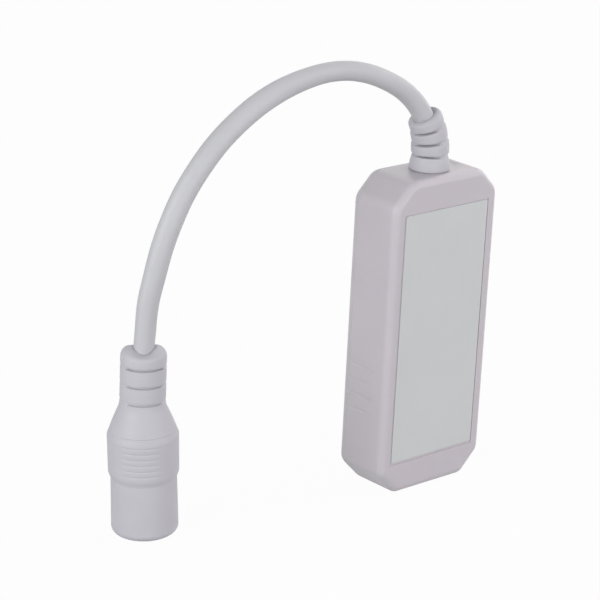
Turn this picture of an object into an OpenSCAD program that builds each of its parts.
// In-line LED strip controller: a small octagonal case on a short power lead.
// The case stands on its socket end, +Z runs to the cord end and the label faces -Y.

/* [Case] */
// Width of the case across its two grip sides
case_w = 23.4; // [23:0.2:30]
// Depth of the case from the label face to the button face
case_d = 11.6; // [11.4:0.2:15]
// Length of the case from the socket end to the cord end
case_l = 55; // [54:1:80]
// Leg of the slanted cut across each corner of the outline
corner_cut = 3.9; // [2.6:0.1:4.4]
// Radius of the outline's angles at the socket end
corner_r = 2.2; // [1.4:0.1:2.6]
// Radius of the outline's angles at the cord end
cord_corner_r = 3; // [1.4:0.1:3.2]
// Rounding of the edge round the label face
front_round = 1.3; // [0.6:0.1:1.4]
// Rounding of the edge round the button face
back_round = 2.8; // [2.2:0.1:3]
// Distance from the start of the back rounding to the parting line
seam_step = 0.4; // [0.2:0.1:0.6]
// Wall round the sides and ends
wall_t = 1.4; // [1.2:0.1:1.6]
// Thickness of the label face
face_t = 1.3; // [1.1:0.1:1.6]
// Thickness of the button face
lid_t = 1.3; // [1.1:0.1:1.5]

/* [Label and grips] */
// Width of the recess for the label
recess_w = 19.6; // [12:0.2:19.8]
// Height of the recess for the label
recess_h = 44.4; // [30:0.2:46]
// Depth of the recess for the label
recess_depth = 0.25; // [0.25:0.05:0.6]
// Thickness of the blank label
label_t = 0.25; // [0.1:0.05:0.25]
// Number of grip grooves on each side
grip_count = 4; // [1:1:7]
// Distance from one grip groove to the next
grip_pitch = 2.6; // [1.8:0.1:3.2]
// Height of the lowest grip groove above the socket end
grip_z = 14.2; // [8:0.2:20]
// Depth of a grip groove
grip_depth = 0.15; // [0.15:0.05:0.5]

/* [Button and lamp] */
// Diameter of the button
button_dia = 7; // [6.6:0.1:8]
// Diameter of the flange that keeps the button in
flange_dia = 8.4; // [8.2:0.1:9]
// Travel of the button
travel = 0.35; // [0.2:0.05:0.4]
// Diameter of the lamp's window
window_dia = 2; // [1.4:0.1:2.4]

/* [Circuit board] */
// Thickness of the circuit board
board_t = 1; // [0.8:0.1:1.2]
// Height of the four pillars under the circuit board
pillar_h = 1.3; // [0.8:0.1:1.6]
// Side of the push switch
switch_w = 6; // [5.8:0.1:6.4]
// Height of the push switch without its plunger
switch_h = 3.5; // [3.2:0.1:4]
// Diameter of the switch's plunger
plunger_dia = 3.4; // [3:0.1:3.6]
// Width of the radio module
module_w = 11; // [9.6:0.2:11.2]
// Length of the radio module
module_l = 14; // [12:0.5:14.5]
// Diameter of the input capacitor
capacitor_dia = 5; // [4:0.1:5.2]
// Height of the input capacitor
capacitor_h = 4.5; // [4:0.1:4.7]
// Side of the power inductor
inductor_w = 4; // [3:0.1:4.4]

/* [Strip socket] */
// Number of ways in the strip socket
way_count = 4; // [3:1:5]
// Distance from one way to the next
way_pitch = 2.54; // [2:0.02:2.6]
// Length of the strip socket
socket_l = 8.5; // [7:0.1:8.8]
// Height of the strip socket above the circuit board
socket_h = 2.6; // [2.4:0.1:3]

/* [Cord] */
// Diameter of the cord
cord_dia = 3.5; // [3:0.1:4]
// Diameter of one insulated wire inside the case
wire_dia = 1.3; // [1:0.1:1.5]
// Radius of the bend in the strain relief
relief_bend_r = 14; // [11:0.5:20]
// Diameter of the strain relief's lowest ring
relief_base_dia = 6.7; // [6.6:0.1:7.4]
// Diameter of the strain relief's highest ring
relief_tip_dia = 5.6; // [5.4:0.1:6.2]
// Number of rings on the strain relief
relief_ring_count = 4; // [3:1:5]
// Distance from one strain relief ring to the next
relief_pitch = 2.35; // [1.8:0.05:2.4]
// Length of the strain relief's highest ring
relief_tip_l = 1.8; // [1.6:0.1:3]

/* [Jack] */
// Diameter of the jack at its mouth
mouth_dia = 10.9; // [10.4:0.1:12]
// Diameter of the jack's ribbed collar
collar_dia = 11.55; // [11.3:0.05:13]
// Height of the lower edge of the collar above the mouth
collar_z = 10.45; // [8:0.05:11]
// Length of the collar
collar_l = 6.5; // [6:0.05:9]
// Length of the cone between the collar and the sleeve
cone_l = 5.1; // [4:0.1:7]
// Diameter of the slotted sleeve round the cord
sleeve_dia = 7.4; // [7:0.1:8.4]
// Length of the slotted sleeve
sleeve_l = 9.8; // [9.4:0.1:14]
// Diameter of the plug's passage in the jack
passage_dia = 6.1; // [5.8:0.1:6.2]
// Depth of the plug's passage
passage_l = 9.8; // [9:0.1:11]
// Diameter of the centre pin
pin_dia = 2; // [1.6:0.1:2.4]

/* [Hidden] */

// Fits and the one overrun of every cut
overrun = 0.5;
slide_gap = 0.15;
snug_gap = 0.1;
tight_gap = 0.02;
fine = 64;
arc_steps = 4;
round_steps = 5;

// Case: places that follow from its sizes
label_y = -case_d / 2;
button_y = case_d / 2;
parting_y = button_y - back_round + seam_step;
seam_angle = asin(seam_step / back_round);
floor_y = label_y + face_t;
ceiling_y = button_y - lid_t;
inner_corner_r = 0.5;
inner_round = 0.8;
flat_mid_y = (front_round - back_round) / 2;
tongue_w = 12.2;
tongue_drop = 0.5;
tongue_y = flat_mid_y - tongue_drop;
lid_lean = 30;
lid_lean_step = 15;
lip_t = 0.8;
lip_h = 1.5;
bead_r = 0.35;
bead_out = 0.25;
bead_l = 6;
bead_drop = 0.9;
bead_places_share = [0.3, 0.7];
grip_r = 0.4;
grip_stop = 1.2;
label_gap = 0.45;
label_corner_r = 0.5;
label_z = 27.7;

// Board and its pillars
board_gap = 0.5;
board_w = case_w - 2 * (wall_t + board_gap);
board_z = wall_t + board_gap;
board_top_gap = 4.8;
board_l = case_l - wall_t - board_top_gap - board_z;
board_under_y = floor_y + pillar_h;
board_y = board_under_y + board_t;
pillar_dia = 3;
locator_dia = 1.2;
pillar_inset_z = 3;
column_dia = 2.4;

// Rows of pieces up the board, each set from the one below
row_gap = 0.7;
piece_gap = 0.6;
socket_tail = 1.1;
mosfet_w = 4.4;
mosfet_l = 2.5;
mosfet_h = 1.5;
mosfet_leg_l = 0.8;
mosfet_leg_w = 0.45;
mosfet_tab_l = 0.6;
mosfet_tab_w = 1.8;
leg_t = 0.25;
mosfet_z = socket_l + socket_tail + row_gap + mosfet_leg_l + mosfet_l / 2;
mosfet_pitch = 6;
chip_l = 1.6;
chip_w = 0.8;
chip_t = 0.45;
chip_end = 0.3;
resistor_z = mosfet_z + mosfet_l / 2 + mosfet_tab_l + row_gap + chip_w / 2;
module_z = resistor_z + chip_w / 2 + row_gap;
module_t = 0.8;
module_x = -board_w / 2 + piece_gap;
module_notch_r = 0.3;
module_notch_pitch = 1.5;
shield_w = 9;
shield_l = 9;
shield_h = 1.8;
shield_edge = 0.2;
column_x = (module_x + module_w + board_w / 2) / 2;
big_chip_l = 2;
big_chip_w = 1.25;
big_chip_t = 0.9;
regulator_w = 1.6;
regulator_l = 2.9;
regulator_h = 1.1;
regulator_leg_l = 0.6;
regulator_leg_w = 0.4;
regulator_pitch = 0.95;
ceramic_z = module_z + big_chip_w / 2;
ceramic_pitch = big_chip_w + piece_gap;
regulator_z = ceramic_z + ceramic_pitch + big_chip_w / 2 + piece_gap + regulator_l / 2;
inductor_z = regulator_z + regulator_l / 2 + piece_gap + inductor_w / 2;
inductor_h = 2;
inductor_cap_t = 0.5;
inductor_core_dia = 2.6;
switch_leg = 0.5;
button_z = module_z + module_l + piece_gap + switch_leg + switch_w / 2;
capacitor_base_lap = 0.15;
capacitor_base_w = capacitor_dia + 2 * capacitor_base_lap;
capacitor_base_t = 0.9;
capacitor_crimp = 0.2;
capacitor_corner = 1;
diode_w = 2.6;
diode_l = 4.2;
diode_h = 2.1;
diode_leg_l = 0.7;
diode_leg_w = 1.4;
diode_x = (switch_w + diode_w) / 2 + piece_gap;
pipe_flange_lap = 0.5;
pipe_flange_dia = window_dia + 2 * pipe_flange_lap;
lamp_z = button_z + (flange_dia + pipe_flange_dia) / 2 + piece_gap;
capacitor_x = -(pipe_flange_dia + capacitor_base_w) / 2 - piece_gap;
lamp_w = 1.25;
lamp_l = 2;
lamp_h = 0.8;
lamp_lens_h = 0.5;
pad_z = lamp_z + lamp_l / 2 + row_gap + wire_dia;

// Push switch, cap and window
cover_t = 0.3;
cover_ear = 1.2;
cavity_dia = 4.6;
plunger_top_h = 1.5;
plunger_foot_dia = 4.3;
plunger_foot_t = 0.7;
foot_gap = 0.05;
dome_t = 0.12;
dome_rise = 0.35;
dome_share = 0.8;
switch_y = board_y + switch_h;
plunger_y = switch_y + plunger_top_h;
foot_top_y = switch_y - cover_t - foot_gap;
foot_under_y = foot_top_y - plunger_foot_t;
dome_floor_y = foot_under_y - travel - foot_gap - dome_rise - dome_t;
cap_recess = 0.05;
cap_flange_t = 0.6;
cap_edge = 0.3;
cap_dish_r = 14;
cap_dish_depth = 0.3;
guide_share = 0.24;
guide_h = guide_share * (ceiling_y - slide_gap - cap_flange_t - travel - foot_gap - switch_y);
guide_t = 0.8;
cap_stop_y = ceiling_y - guide_h - slide_gap;
pipe_y = board_y + lamp_h + lamp_lens_h + slide_gap;
pipe_flange_t = 0.6;

// Strip socket
socket_end = 0.07;
socket_w = way_count * way_pitch + 2 * socket_end;
way_mouth = 0.9;
way_room = 1.5;
way_floor = 0.9;
way_bevel = 0.3;
contact_w = 1;
contact_t = 0.25;
contact_tail_w = 0.6;
contact_l = 5.6;
contact_bow = 0.22;
tail_hole_dia = 0.95;
socket_mid_y = board_y + socket_h / 2;

// Strain relief: its foot lies in the end wall, its rings climb outside
neck_dia = 4.8;
inner_flange_dia = 6.9;
inner_flange_t = 1.2;
inner_stub_dia = 4.4;
inner_stub_l = 0.9;
relief_straight = 2.4;
relief_groove = 0.45;
relief_groove_depth = 0.22;
relief_ring_edge = 0.25;
relief_slot_from_axis = 2.15;
relief_slot_turn = -54;
relief_lap = 0.5;
relief_base_l = 2.4;
relief_base_taper = 0.35;
cord_turn = -8.5;
wire_spread = 0.85;
pad_x = 3.3;
wire_sides = 8;
wire_bend_share = [[0, 0], [0, 0.1], [0.1, 0.27], [0.5, 0.5], [0.9, 0.73], [1, 0.9], [1, 1]];

// Jack: standing on its mouth, leaning out a little, its sleeve nearly upright
jack_foot = [-51.6, 7, 0];
jack_lean = 3;
sleeve_lean_back = 2.6;
mouth_round = 1.1;
mouth_taper = 0.1;
collar_taper = 0.05;
collar_bevel = 0.45;
cone_bulge = 0.1;
cone_share = 1.06;
sleeve_tip_round = 1.75;
slot_count = 3;
slot_pitch = 2.93;
slot_h = 0.5;
slot_from_axis = 2.4;
slot_deepen = 0.25;
slot_first = 0.6;
jack_face_turn = -32;
rib_count = 6;
rib_pitch = 0.99;
rib_groove_h = 0.3;
rib_groove_depth = 0.1;
rib_half_angle = 30;
rib_first = 1.1;
insulator_wall = 0.75;
insulator_sunk = 0.4;
insulator_back = 3;
passage_bevel = 0.35;
pin_sunk = 0.8;
pin_tip_r = 0.5;
pin_root_step = 0.2;
tail_dia = 1.1;
tail_l = 2.2;
leaf_w = 2.2;
leaf_t = 0.25;
leaf_from_axis = 2.95;
leaf_mouth_gap = 1.6;
tag_chamber_dia = 6.9;
tag_from_axis = 1.4;
tag_chamber_l = 2.6;
insulator_dia = passage_dia + 2 * insulator_wall;
insulator_l = passage_l + insulator_back;
pin_root_r = pin_dia / 2 + pin_root_step;
cone_z = collar_z + collar_l;
sleeve_z = cone_z + cone_l;
sleeve_pivot = 1;
foot_edge_r = mouth_dia / 2 - mouth_round;
jack_rise = foot_edge_r * sin(jack_lean) + mouth_round * (cos(jack_lean) - 1);

// Route of the cord's middle line, from inside the relief to inside the jack's sleeve
cord_sides = 8;
cord_route = [
  [-1.1, -0.6, 62.7], [-1.8, -0.5, 64.1], [-3.5, -0.2, 66.5], [-5.4, 0.1, 68.3], [-7.7, 0.4, 69.9],
  [-11.8, 1, 71.9], [-16.2, 1.7, 73.1], [-20.7, 2.4, 73.3], [-25.2, 3, 72.6], [-29.6, 3.7, 71.2],
  [-33.7, 4.3, 69.2], [-37.4, 4.9, 66.6], [-40.8, 5.4, 63.6], [-43.8, 5.8, 60.1], [-46.4, 6.2, 56.3],
  [-48.4, 6.5, 52.2], [-50, 6.8, 47.9], [-51.2, 6.9, 43.5], [-52.25, 7.1, 39], [-52.6, 7.1, 34.4],
  [-52.8, 7.2, 30.8]
];

// Outline of the case drawn in by a given amount, its eight angles turned to arcs
function leg(in) = corner_cut - in * (2 - sqrt(2));
function eighth(in) = let (a = case_w / 2 - in, b = case_l / 2 - in, c = leg(in)) [
  [a, b - c], [a - c, b], [c - a, b], [-a, b - c],
  [-a, c - b], [c - a, -b], [a - c, -b], [a, c - b]
];
function angle_r(in, k) = max((k < 4 ? cord_corner_r : corner_r) - in, inner_corner_r);
function outline(in) = [
  for (k = [0:7]) let (r = angle_r(in, k), mid = eighth(in + r)[k]) for (s = [0:arc_steps])
    mid + r * [cos(45 * (k + s / arc_steps)), sin(45 * (k + s / arc_steps))]
];
function outer_ring(in, y) = [for (p = outline(in)) [p[0], y, p[1] + case_l / 2]];
function inner_ring(in, y) = outer_ring(wall_t + in, y);
function front_in(a) = front_round * (1 - sin(a));
function front_y(a) = label_y + front_round * (1 - cos(a));
function back_in(a) = back_round * (1 - cos(a));
function back_y(a) = button_y - back_round * (1 - sin(a));
function joined(lists) = [for (l = lists) for (p = l) p];

// Solid through a stack of rings that have the same number of points
module skin(rings) {
  n = len(rings[0]);
  m = len(rings);
  polyhedron(
    points = joined(rings),
    faces = concat(
      [[for (k = [n - 1:-1:0]) k]],
      [[for (k = [0:n - 1]) (m - 1) * n + k]],
      [for (j = [0:m - 2]) for (k = [0:n - 1])
        [j * n + k, j * n + (k + 1) % n, (j + 1) * n + (k + 1) % n, (j + 1) * n + k]]
    )
  );
}

// Tube of flat sides swept along points that lie in one upright plane
function unit(v) = v / norm(v);
function heading(path, k) = unit(path[min(k + 1, len(path) - 1)] - path[max(k - 1, 0)]);
function tube_ring(path, k, r, sides) =
  let (
    t = heading(path, k),
    across = unit(cross(path[len(path) - 1] - path[0], [0, 0, 1])),
    side = unit(across - (across * t) * t),
    up = cross(t, side)
  )
  [for (s = [0:sides - 1])
    path[k] + r * (cos(360 * (s + 0.5) / sides) * side + sin(360 * (s + 0.5) / sides) * up)];
module tube(path, d, sides) {
  skin([for (k = [0:len(path) - 1]) tube_ring(path, k, d / 2, sides)]);
}

// Turns a shape drawn along +Z so that it points along +Y from a given level
module from_y(y) {
  translate([0, y, 0]) rotate([-90, 0, 0]) children();
}
module facing_y(x, y, z) {
  translate([x, y, z]) rotate([-90, 0, 0]) children();
}
// Box given by its middle in X and Z and by its two levels in Y
module slab(x, z, w, l, y0, y1) {
  translate([x - w / 2, y0, z - l / 2]) cube([w, y1 - y0, l]);
}

// Case shells
module outer_front() {
  skin(concat(
    [for (k = [0:round_steps]) let (a = 90 * k / round_steps) outer_ring(front_in(a), front_y(a))],
    [outer_ring(0, button_y - back_round)],
    [outer_ring(back_in(seam_angle), parting_y)]
  ));
}
module inner_front() {
  skin([
    inner_ring(inner_round, floor_y),
    inner_ring(inner_round * (1 - sin(45)), floor_y + inner_round * (1 - cos(45))),
    inner_ring(0, floor_y + inner_round),
    inner_ring(0, parting_y + overrun)
  ]);
}
module neck_slot(extra) {
  slot_w = neck_dia + 2 * extra;
  translate([0, flat_mid_y, case_l - wall_t - overrun]) {
    cylinder(h = wall_t + 2 * overrun, d = slot_w, $fn = fine);
    translate([-slot_w / 2, 0, 0]) cube([slot_w, case_d, wall_t + 2 * overrun]);
  }
}
module tongue_notch(extra) {
  slab(0, case_l, tongue_w + 2 * extra, 2 * (wall_t + overrun), tongue_y, case_d);
}
module socket_window(extra) {
  slab(0, 0, socket_w + 2 * extra, 2 * (wall_t + overrun), board_y - extra, board_y + socket_h + extra);
}
module grip_cuts(side) {
  cut_l = parting_y - (label_y + front_round + grip_stop);
  for (k = [0:grip_count - 1])
    translate([side * (case_w / 2 - grip_depth + grip_r), parting_y - cut_l, grip_z + k * grip_pitch])
      rotate([-90, 0, 0]) {
        cylinder(h = cut_l + overrun, r = grip_r, $fn = fine);
        sphere(r = grip_r, $fn = fine);
      }
}
module bead_row(side, r, l) {
  for (s = bead_places_share)
    translate([side * (case_w / 2 - wall_t - snug_gap - bead_r + bead_out),
      parting_y - bead_drop, case_l * s - l / 2])
      cylinder(h = l, r = r, $fn = fine);
}
module pillar_places() {
  for (sx = [-1, 1]) for (z = [board_z + pillar_inset_z, board_z + board_l - pillar_inset_z])
    translate([sx * (socket_w / 2 + case_w / 2 - wall_t) / 2, 0, z]) children();
}
module label_recess() {
  slab(0, label_z, recess_w, recess_h, label_y - overrun, label_y + recess_depth);
}
module front_shell() {
  color([0.83, 0.81, 0.84]) {
    difference() {
      outer_front();
      inner_front();
      label_recess();
      neck_slot(snug_gap);
      tongue_notch(snug_gap);
      socket_window(snug_gap);
      for (side = [-1, 1]) {
        grip_cuts(side);
        bead_row(side, bead_r + snug_gap, bead_l + 2 * snug_gap);
      }
    }
    pillar_places() {
      from_y(floor_y) cylinder(h = pillar_h, d = pillar_dia, $fn = fine);
      from_y(floor_y) cylinder(h = pillar_h + board_t, d = locator_dia, $fn = fine);
    }
  }
}

// Lid with its lip, the tongue over the cord's neck and the guides for button and lamp
module outer_back() {
  skin([for (k = [0:round_steps]) let (a = seam_angle + (90 - seam_angle) * k / round_steps)
    outer_ring(back_in(a), back_y(a))]);
}
module inner_back() {
  depth = ceiling_y - parting_y;
  skin([
    inner_ring(0, parting_y - overrun),
    for (k = [0:2]) inner_ring(back_in(lid_lean + k * lid_lean_step), parting_y + depth * k / 2)
  ]);
}
module ring_wall(in, t, y0, y1) {
  translate([0, y1, case_l / 2]) rotate([90, 0, 0]) linear_extrude(y1 - y0) difference() {
    polygon(outline(in));
    polygon(outline(in + t));
  }
}
module lip() {
  difference() {
    union() {
      ring_wall(wall_t + snug_gap, lip_t, parting_y - lip_h, parting_y);
      ring_wall(wall_t / 2, wall_t / 2 + snug_gap + lip_t, parting_y, parting_y + wall_t / 2);
    }
    slab(0, case_l, inner_flange_dia + 2 * overrun, 2 * (wall_t + 2 * lip_t), board_y, parting_y);
    slab(0, 0, socket_w + 2 * slide_gap, 2 * (wall_t + 2 * lip_t), board_y, board_y + socket_h + slide_gap);
  }
}
module back_lid() {
  color([0.83, 0.81, 0.84])
  difference() {
    union() {
      difference() {
        outer_back();
        inner_back();
      }
      lip();
      for (side = [-1, 1]) bead_row(side, bead_r, bead_l);
      slab(0, case_l - wall_t / 2, tongue_w, wall_t, tongue_y + tight_gap, parting_y);
      slab(0, case_l - wall_t * 3 / 4, tongue_w, wall_t / 2, tongue_y + tight_gap,
        parting_y + wall_t / 2);
      facing_y(0, ceiling_y - guide_h, button_z)
        cylinder(h = guide_h + lid_t / 2, d = button_dia + 2 * (slide_gap + guide_t), $fn = fine);
      facing_y(0, ceiling_y - guide_h, lamp_z)
        cylinder(h = guide_h + lid_t / 2, d = window_dia + 2 * (snug_gap + guide_t), $fn = fine);
      pillar_places()
        from_y(board_y + slide_gap)
          cylinder(h = ceiling_y + lid_t / 2 - board_y - slide_gap, d = column_dia, $fn = fine);
    }
    facing_y(0, ceiling_y - guide_h - overrun, button_z)
      cylinder(h = guide_h + lid_t + 2 * overrun, d = button_dia + 2 * slide_gap, $fn = fine);
    facing_y(0, ceiling_y - guide_h - overrun, lamp_z)
      cylinder(h = guide_h + lid_t + 2 * overrun, d = window_dia + 2 * snug_gap, $fn = fine);
    translate([0, flat_mid_y, case_l - wall_t - overrun])
      cylinder(h = wall_t + 2 * overrun, d = neck_dia + 2 * snug_gap, $fn = fine);
  }
}

// Blank label in its recess
module label_plate() {
  w = recess_w - 2 * label_gap;
  h = recess_h - 2 * label_gap;
  r = label_corner_r;
  color([0.77, 0.77, 0.78])
    translate([0, label_y + recess_depth, label_z]) rotate([90, 0, 0]) linear_extrude(label_t) union() {
      square([w - 2 * r, h], center = true);
      square([w, h - 2 * r], center = true);
      for (sx = [-1, 1]) for (sz = [-1, 1])
        translate([sx * (w / 2 - r), sz * (h / 2 - r)]) circle(r = r, $fn = fine);
    }
}

// Button: dished head, flange that the lid holds in, foot on the switch's plunger
module button_cap() {
  top_y = button_y - cap_recess;
  r = button_dia / 2;
  foot_y = plunger_y;
  color([0.86, 0.85, 0.88])
    facing_y(0, foot_y, button_z) difference() {
      rotate_extrude($fn = fine) polygon([
        [0, 0], [plunger_dia / 2, 0], [plunger_dia / 2, cap_stop_y - cap_flange_t - foot_y],
        [flange_dia / 2, cap_stop_y - cap_flange_t - foot_y], [flange_dia / 2, cap_stop_y - foot_y],
        [r, cap_stop_y - foot_y], [r, top_y - cap_edge - foot_y], [r - cap_edge, top_y - foot_y],
        [0, top_y - foot_y]
      ]);
      translate([0, 0, top_y - foot_y + cap_dish_r - cap_dish_depth]) sphere(r = cap_dish_r, $fn = fine);
    }
}

// Clear rod that carries the lamp's light to the button face
module light_pipe() {
  color([0.92, 0.93, 0.95, 0.6])
    facing_y(0, pipe_y, lamp_z) {
      cylinder(h = button_y - cap_recess - pipe_y, d = window_dia, $fn = fine);
      translate([0, 0, ceiling_y - guide_h - pipe_flange_t - pipe_y])
        cylinder(h = pipe_flange_t, d = pipe_flange_dia, $fn = fine);
    }
}

// Circuit board with cut corners, four locating holes and the socket's tail holes
module circuit_board() {
  w = board_w / 2;
  c = corner_cut;
  color([0.1, 0.36, 0.2])
  difference() {
    translate([0, board_y, board_z]) rotate([90, 0, 0]) linear_extrude(board_t) polygon([
      [c - w, 0], [w - c, 0], [w, c], [w, board_l - c], [w - c, board_l], [c - w, board_l],
      [-w, board_l - c], [-w, c]
    ]);
    pillar_places() from_y(board_under_y - overrun)
      cylinder(h = board_t + 2 * overrun, d = locator_dia + 2 * slide_gap, $fn = fine);
    ways() facing_y(0, board_under_y - overrun, socket_l + socket_tail - contact_tail_w / 2)
      cylinder(h = board_t + 2 * overrun, d = tail_hole_dia, $fn = fine);
  }
}

// Radio module: a small board with half-round edge contacts, and its metal can
module wireless_module() {
  x0 = module_x;
  color([0.08, 0.22, 0.42])
  difference() {
    translate([x0, board_y, module_z]) cube([module_w, module_t, module_l]);
    for (x = [x0, x0 + module_w])
      for (z = [module_z + module_notch_pitch:module_notch_pitch:module_z + shield_l])
        facing_y(x, board_y - overrun, z)
          cylinder(h = module_t + 2 * overrun, r = module_notch_r, $fn = fine);
  }
}
module module_shield() {
  x0 = module_x + (module_w - shield_w) / 2;
  z0 = module_z + row_gap;
  y0 = board_y + module_t;
  color([0.78, 0.78, 0.76])
  difference() {
    translate([x0, y0, z0]) cube([shield_w, shield_h, shield_l]);
    translate([x0 + shield_edge, y0 - overrun, z0 + shield_edge])
      cube([shield_w - 2 * shield_edge, shield_h - shield_edge + overrun, shield_l - 2 * shield_edge]);
  }
}

// Three transistors that switch the strip's colours
module strip_mosfets() {
  color([0.13, 0.13, 0.14])
  for (k = [-1:1]) {
    x = k * mosfet_pitch;
    slab(x, mosfet_z, mosfet_w, mosfet_l, board_y, board_y + mosfet_h);
    for (j = [-1:1])
      slab(x + j * mosfet_w / 3, mosfet_z - (mosfet_l + mosfet_leg_l) / 2,
        mosfet_leg_w, mosfet_leg_l, board_y, board_y + leg_t);
    slab(x, mosfet_z + (mosfet_l + mosfet_tab_l) / 2,
      mosfet_tab_w, mosfet_tab_l, board_y, board_y + leg_t);
  }
}

// Input capacitor: a can with a crimp on a square foot with two cut corners
module input_capacitor() {
  r = capacitor_dia / 2;
  w = capacitor_base_w / 2;
  c = capacitor_corner;
  crimp_y = capacitor_base_t + capacitor_crimp;
  color([0.74, 0.75, 0.77]) {
    translate([capacitor_x, board_y + capacitor_base_t, lamp_z]) rotate([90, 0, 0])
      linear_extrude(capacitor_base_t)
        polygon([[-w, -w], [w, -w], [w, w - c], [w - c, w], [c - w, w], [-w, w - c]]);
    facing_y(capacitor_x, board_y, lamp_z) rotate_extrude($fn = fine) polygon([
      [0, capacitor_base_t / 2], [r, capacitor_base_t / 2], [r, crimp_y],
      [r - capacitor_crimp, crimp_y + capacitor_crimp], [r, crimp_y + 2 * capacitor_crimp],
      [r, capacitor_h - capacitor_crimp], [r - capacitor_crimp, capacitor_h], [0, capacitor_h]
    ]);
  }
}

// Diode against a reversed supply
module reverse_diode() {
  color([0.15, 0.15, 0.16]) {
    slab(diode_x, button_z, diode_w, diode_l, board_y, board_y + diode_h);
    slab(diode_x, button_z, diode_leg_w, diode_l + 2 * diode_leg_l, board_y, board_y + leg_t);
  }
}

// Step-down regulator and its inductor
module regulator_chip() {
  color([0.14, 0.14, 0.15]) {
    slab(column_x, regulator_z, regulator_w, regulator_l, board_y, board_y + regulator_h);
    for (j = [-1:1])
      slab(column_x, regulator_z + j * regulator_pitch, regulator_w + 2 * regulator_leg_l,
        regulator_leg_w, board_y, board_y + leg_t);
  }
}
module power_inductor() {
  w = inductor_w;
  color([0.25, 0.24, 0.24]) {
    slab(column_x, inductor_z, w, w, board_y, board_y + inductor_cap_t);
    facing_y(column_x, board_y, inductor_z)
      cylinder(h = inductor_h, d = inductor_core_dia, $fn = fine);
    slab(column_x, inductor_z, w, w, board_y + inductor_h - inductor_cap_t, board_y + inductor_h);
  }
}

// Two-ended chip with its metal caps a little proud
module chip(x, z, l, w, t) {
  slab(x, z, l - 2 * chip_end, w, board_y, board_y + t);
  for (s = [-1, 1])
    slab(x + s * (l - chip_end) / 2, z, chip_end, w, board_y, board_y + t + tight_gap);
}
module ceramic_capacitors() {
  color([0.72, 0.62, 0.48]) {
    for (s = [0, 1])
      chip(column_x, ceramic_z + s * ceramic_pitch, big_chip_l, big_chip_w, big_chip_t);
    chip(column_x, inductor_z + (inductor_w + big_chip_w) / 2 + piece_gap / 2,
      big_chip_l, big_chip_w, big_chip_t);
  }
}
module chip_resistors() {
  color([0.16, 0.16, 0.17])
  for (k = [-1:1]) chip(k * mosfet_pitch, resistor_z, chip_l, chip_w, chip_t);
}

// Lamp under the light pipe
module status_led() {
  color([0.93, 0.92, 0.86]) {
    slab(0, lamp_z, lamp_w, lamp_l, board_y, board_y + lamp_h);
    facing_y(0, board_y, lamp_z)
      cylinder(h = lamp_h + lamp_lens_h, d = lamp_w - 2 * tight_gap, $fn = fine);
  }
}

// Push switch: moulded body, pressed cover, snap dome and plunger
module switch_body() {
  color([0.12, 0.12, 0.13]) {
    difference() {
      slab(0, button_z, switch_w, switch_w, board_y, switch_y - cover_t);
      facing_y(0, dome_floor_y, button_z) cylinder(h = case_d, d = cavity_dia, $fn = fine);
    }
    for (sx = [-1, 1]) for (sz = [-1, 1])
      slab(sx * (switch_w / 2 - switch_leg), button_z + sz * (switch_w + switch_leg) / 2,
        switch_leg, switch_leg, board_y, board_y + leg_t);
  }
}
module switch_cover() {
  ear_w = switch_w / 3;
  color([0.75, 0.75, 0.74])
  difference() {
    union() {
      slab(0, button_z, switch_w, switch_w, switch_y - cover_t, switch_y);
      for (s = [-1, 1])
        slab(s * (switch_w + leg_t) / 2, button_z, leg_t, ear_w, switch_y - cover_ear, switch_y);
    }
    facing_y(0, switch_y - cover_t - overrun, button_z)
      cylinder(h = cover_t + 2 * overrun, d = plunger_dia + 2 * slide_gap, $fn = fine);
  }
}
module switch_dome() {
  r = cavity_dia / 2 - slide_gap;
  color([0.82, 0.81, 0.78])
  facing_y(0, dome_floor_y, button_z) rotate_extrude($fn = fine) polygon([
    [0, dome_rise], [r / 2, dome_rise * dome_share], [r - leg_t, 0], [r, 0], [r, dome_t],
    [r - leg_t, dome_t], [r / 2, dome_rise * dome_share + dome_t], [0, dome_rise + dome_t]
  ]);
}
module switch_plunger() {
  color([0.9, 0.89, 0.86])
  facing_y(0, foot_under_y, button_z) {
    cylinder(h = plunger_foot_t, d = plunger_foot_dia, $fn = fine);
    cylinder(h = plunger_y - foot_under_y, d = plunger_dia, $fn = fine);
  }
}

// Strip socket and its contacts
module ways() {
  for (k = [0:way_count - 1])
    translate([(k - (way_count - 1) / 2) * way_pitch, 0, 0]) children();
}
module strip_socket() {
  color([0.14, 0.14, 0.15])
  difference() {
    slab(0, socket_l / 2, socket_w, socket_l, board_y, board_y + socket_h);
    ways() {
      slab(0, 0, way_mouth, 2 * (way_floor + overrun),
        socket_mid_y - way_mouth / 2, socket_mid_y + way_mouth / 2);
      translate([0, socket_mid_y, 0]) rotate([0, 0, 45])
        cylinder(h = way_bevel, d1 = (way_mouth + 2 * way_bevel) * sqrt(2),
          d2 = way_mouth * sqrt(2), $fn = 4);
      slab(0, way_floor + (socket_l - way_floor + overrun) / 2, way_room, socket_l - way_floor + overrun,
        socket_mid_y - way_room / 2, socket_mid_y + way_room / 2);
    }
  }
}
module socket_contacts() {
  leaf_y = socket_mid_y + way_room / 2 - contact_t - tight_gap;
  back_z = socket_l + socket_tail;
  color([0.85, 0.7, 0.35])
  ways() {
    slab(0, way_floor + tight_gap + contact_l / 2, contact_w, contact_l, leaf_y, leaf_y + contact_t);
    slab(0, way_floor + contact_l / 2, contact_w, contact_l / 3, leaf_y - contact_bow, leaf_y);
    slab(0, (way_floor + contact_l + back_z) / 2, contact_tail_w, back_z - way_floor - contact_l,
      leaf_y, leaf_y + contact_t);
    slab(0, back_z - contact_tail_w / 2, contact_tail_w, contact_tail_w,
      board_under_y - leg_t, leaf_y + contact_t);
  }
}

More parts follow.
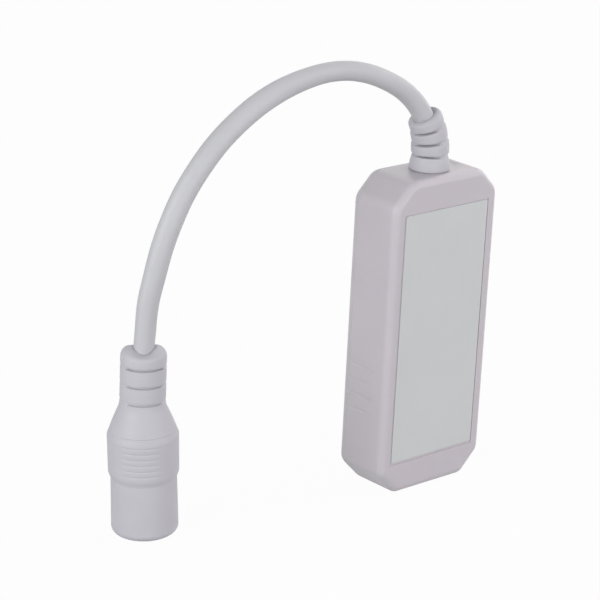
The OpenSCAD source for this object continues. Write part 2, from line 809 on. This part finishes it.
// Two insulated wires from the strain relief to their pads on the board
module inner_wire(side) {
  z1 = case_l - wall_t - snug_gap - inner_flange_t - inner_stub_l;
  start = [side * wire_spread, flat_mid_y, z1];
  finish = [side * pad_x, board_y + wire_dia / 2, pad_z];
  way = finish - start;
  tube([for (p = wire_bend_share) start + [way[0] * p[0], way[1] * p[0], way[2] * p[1]]],
    wire_dia, wire_sides);
}
module red_wire() {
  color([0.75, 0.12, 0.12]) inner_wire(1);
}
module black_wire() {
  color([0.12, 0.12, 0.13]) inner_wire(-1);
}

// Places along the cord's plane, which turns a little from -X towards +Y
module cord_plane() {
  translate([0, flat_mid_y, case_l]) rotate([0, 0, cord_turn]) children();
}
function relief_angle(s) = max(0, s - relief_straight) * 180 / (PI * relief_bend_r);
module relief_at(s) {
  a = relief_angle(s);
  translate([relief_bend_r * (cos(a) - 1), 0, min(s, relief_straight) + relief_bend_r * sin(a)])
    rotate([0, -a, 0]) children();
}
module disc(r0, r1, h, edge) {
  rotate_extrude($fn = fine) polygon([
    [0, 0], [r0 - edge, 0], [r0, edge], [r1, h - edge], [r1 - edge, h], [0, h]
  ]);
}
module strain_relief() {
  last = relief_ring_count - 1;
  ring_l = relief_pitch - relief_groove;
  color([0.76, 0.76, 0.78])
  cord_plane() {
    translate([0, 0, -wall_t - snug_gap - inner_flange_t])
      cylinder(h = inner_flange_t, d = inner_flange_dia, $fn = fine);
    translate([0, 0, -wall_t - snug_gap - inner_flange_t - inner_stub_l])
      cylinder(h = inner_stub_l + overrun, d = inner_stub_dia, $fn = fine);
    translate([0, 0, -wall_t - snug_gap - overrun])
      cylinder(h = wall_t + snug_gap + 2 * overrun, d = neck_dia, $fn = fine);
    difference() {
      union() {
        disc(relief_base_dia / 2, relief_base_dia / 2 - relief_base_taper, relief_base_l,
          relief_ring_edge);
        for (k = [1:last]) {
          r = relief_base_dia / 2 + (relief_tip_dia - relief_base_dia) / 2 * (k + 1) / relief_ring_count;
          s = relief_base_l + relief_groove + (k - 1) * relief_pitch;
          relief_at(s) disc(r, r, k < last ? ring_l : relief_tip_l, relief_ring_edge);
          relief_at(s - relief_groove - relief_lap)
            cylinder(h = relief_groove + 2 * relief_lap, r = r - relief_groove_depth, $fn = fine);
        }
      }
      for (k = [1:last])
        relief_at(relief_base_l + (k - 1) * relief_pitch) rotate([0, 0, -cord_turn + relief_slot_turn])
          for (s = [-1, 1])
            translate([-relief_base_dia,
              s * (relief_slot_from_axis + relief_base_dia / 2) - relief_base_dia / 2, 0])
              cube([2 * relief_base_dia, relief_base_dia, relief_groove]);
    }
  }
}

// Cord along its route
module power_cord() {
  color([0.75, 0.75, 0.77]) tube(cord_route, cord_dia, cord_sides);
}

// Jack: each piece is drawn upright on its mouth, then set at its foot and leaned
module jack_place() {
  translate(jack_foot + [0, 0, jack_rise]) rotate([0, 0, cord_turn]) rotate([0, -jack_lean, 0])
    children();
}
module jack_sleeve() {
  r = sleeve_dia / 2;
  t = sleeve_tip_round;
  translate([0, 0, sleeve_z - sleeve_pivot]) rotate([0, sleeve_lean_back, 0]) translate([0, 0, -sleeve_pivot])
  difference() {
    rotate_extrude($fn = fine) polygon(concat(
      [[0, 0], [r, 0]],
      [for (k = [0:round_steps]) let (a = 90 * k / round_steps)
        [r - t * (1 - cos(a)), sleeve_l + 2 * sleeve_pivot - t * (1 - sin(a))]],
      [[0, sleeve_l + 2 * sleeve_pivot]]
    ));
    for (k = [0:slot_count - 1])
      translate([0, 0, 2 * sleeve_pivot + slot_first + k * slot_pitch])
        rotate([0, 0, jack_face_turn - cord_turn])
        for (s = [-1, 1])
          translate([-sleeve_dia,
            s * (slot_from_axis - k * slot_deepen + sleeve_dia / 2) - sleeve_dia / 2, 0])
            cube([2 * sleeve_dia, sleeve_dia, slot_h]);
  }
}
module jack_overmould() {
  m = mouth_dia / 2;
  c = collar_dia / 2;
  room_r = insulator_dia / 2 + tight_gap;
  room_l = insulator_sunk + insulator_l + tight_gap;
  color([0.76, 0.76, 0.78])
  jack_place() difference() {
    union() {
      rotate_extrude($fn = fine) polygon(concat(
        [[0, 0]],
        [for (k = [0:round_steps]) let (a = 90 * k / round_steps)
          [m - mouth_round * (1 - sin(a)), mouth_round * (1 - cos(a))]],
        [[m - mouth_taper, collar_z - collar_bevel], [c - collar_taper, collar_z]],
        [for (k = [0:round_steps]) let (u = cone_share * k / round_steps)
          [c + (sleeve_dia / 2 - c) * u + cone_bulge * sin(180 * u), cone_z + cone_l * u]],
        [[0, cone_z + cone_l * cone_share]]
      ));
      jack_sleeve();
    }
    for (k = [0:rib_count - 1]) for (turn = [0, 180])
      translate([0, 0, collar_z + rib_first + k * rib_pitch])
        rotate([0, 0, jack_face_turn - cord_turn - 90 - rib_half_angle + turn])
          rotate_extrude(angle = 2 * rib_half_angle, $fn = fine)
            translate([c - rib_groove_depth, -rib_groove_h / 2]) square([overrun, rib_groove_h]);
    translate([0, 0, -overrun]) cylinder(h = room_l + overrun, r = room_r, $fn = fine);
    translate([0, 0, room_l - overrun])
      cylinder(h = tag_chamber_l + overrun, d = tag_chamber_dia, $fn = fine);
  }
}
module jack_insulator() {
  w = leaf_w + 2 * snug_gap;
  color([0.93, 0.93, 0.92])
  jack_place() translate([0, 0, insulator_sunk]) difference() {
    cylinder(h = insulator_l, d = insulator_dia, $fn = fine);
    translate([0, 0, -overrun]) cylinder(h = passage_l + overrun, d = passage_dia, $fn = fine);
    translate([0, 0, -tight_gap])
      cylinder(h = passage_bevel, r1 = passage_dia / 2 + passage_bevel, r2 = passage_dia / 2, $fn = fine);
    translate([0, 0, -overrun])
      cylinder(h = insulator_l + 2 * overrun, r = pin_root_r + tight_gap, $fn = fine);
    translate([leaf_from_axis - snug_gap, -w / 2, leaf_mouth_gap - snug_gap])
      cube([leaf_t + 2 * snug_gap, w, insulator_l]);
  }
}
module jack_centre_pin() {
  r = pin_dia / 2;
  z0 = insulator_sunk + pin_sunk;
  z1 = insulator_sunk + insulator_l;
  root_z = insulator_sunk + passage_l;
  color([0.84, 0.74, 0.48])
  jack_place() rotate_extrude($fn = fine) polygon(concat(
    [[0, z0]],
    [for (k = [0:round_steps]) let (a = 90 * k / round_steps)
      [r - pin_tip_r * (1 - sin(a)), z0 + pin_tip_r * (1 - cos(a))]],
    [[r, root_z], [pin_root_r, root_z], [pin_root_r, z1]],
    [[tail_dia / 2, z1], [tail_dia / 2, z1 + tail_l], [0, z1 + tail_l]]
  ));
}
module jack_sleeve_contact() {
  z0 = insulator_sunk + leaf_mouth_gap;
  z1 = insulator_sunk + insulator_l;
  color([0.8, 0.8, 0.78])
  jack_place() {
    translate([leaf_from_axis, -leaf_w / 2, z0]) cube([leaf_t, leaf_w, z1 + leaf_t - z0]);
    translate([tag_from_axis, -leaf_w / 4, z1]) cube([leaf_from_axis - tag_from_axis, leaf_w / 2, leaf_t]);
  }
}

front_shell();
back_lid();
label_plate();
button_cap();
light_pipe();
circuit_board();
wireless_module();
module_shield();
strip_mosfets();
input_capacitor();
reverse_diode();
regulator_chip();
power_inductor();
ceramic_capacitors();
chip_resistors();
status_led();
switch_body();
switch_cover();
switch_dome();
switch_plunger();
strip_socket();
socket_contacts();
red_wire();
black_wire();
strain_relief();
power_cord();
jack_overmould();
jack_insulator();
jack_centre_pin();
jack_sleeve_contact();
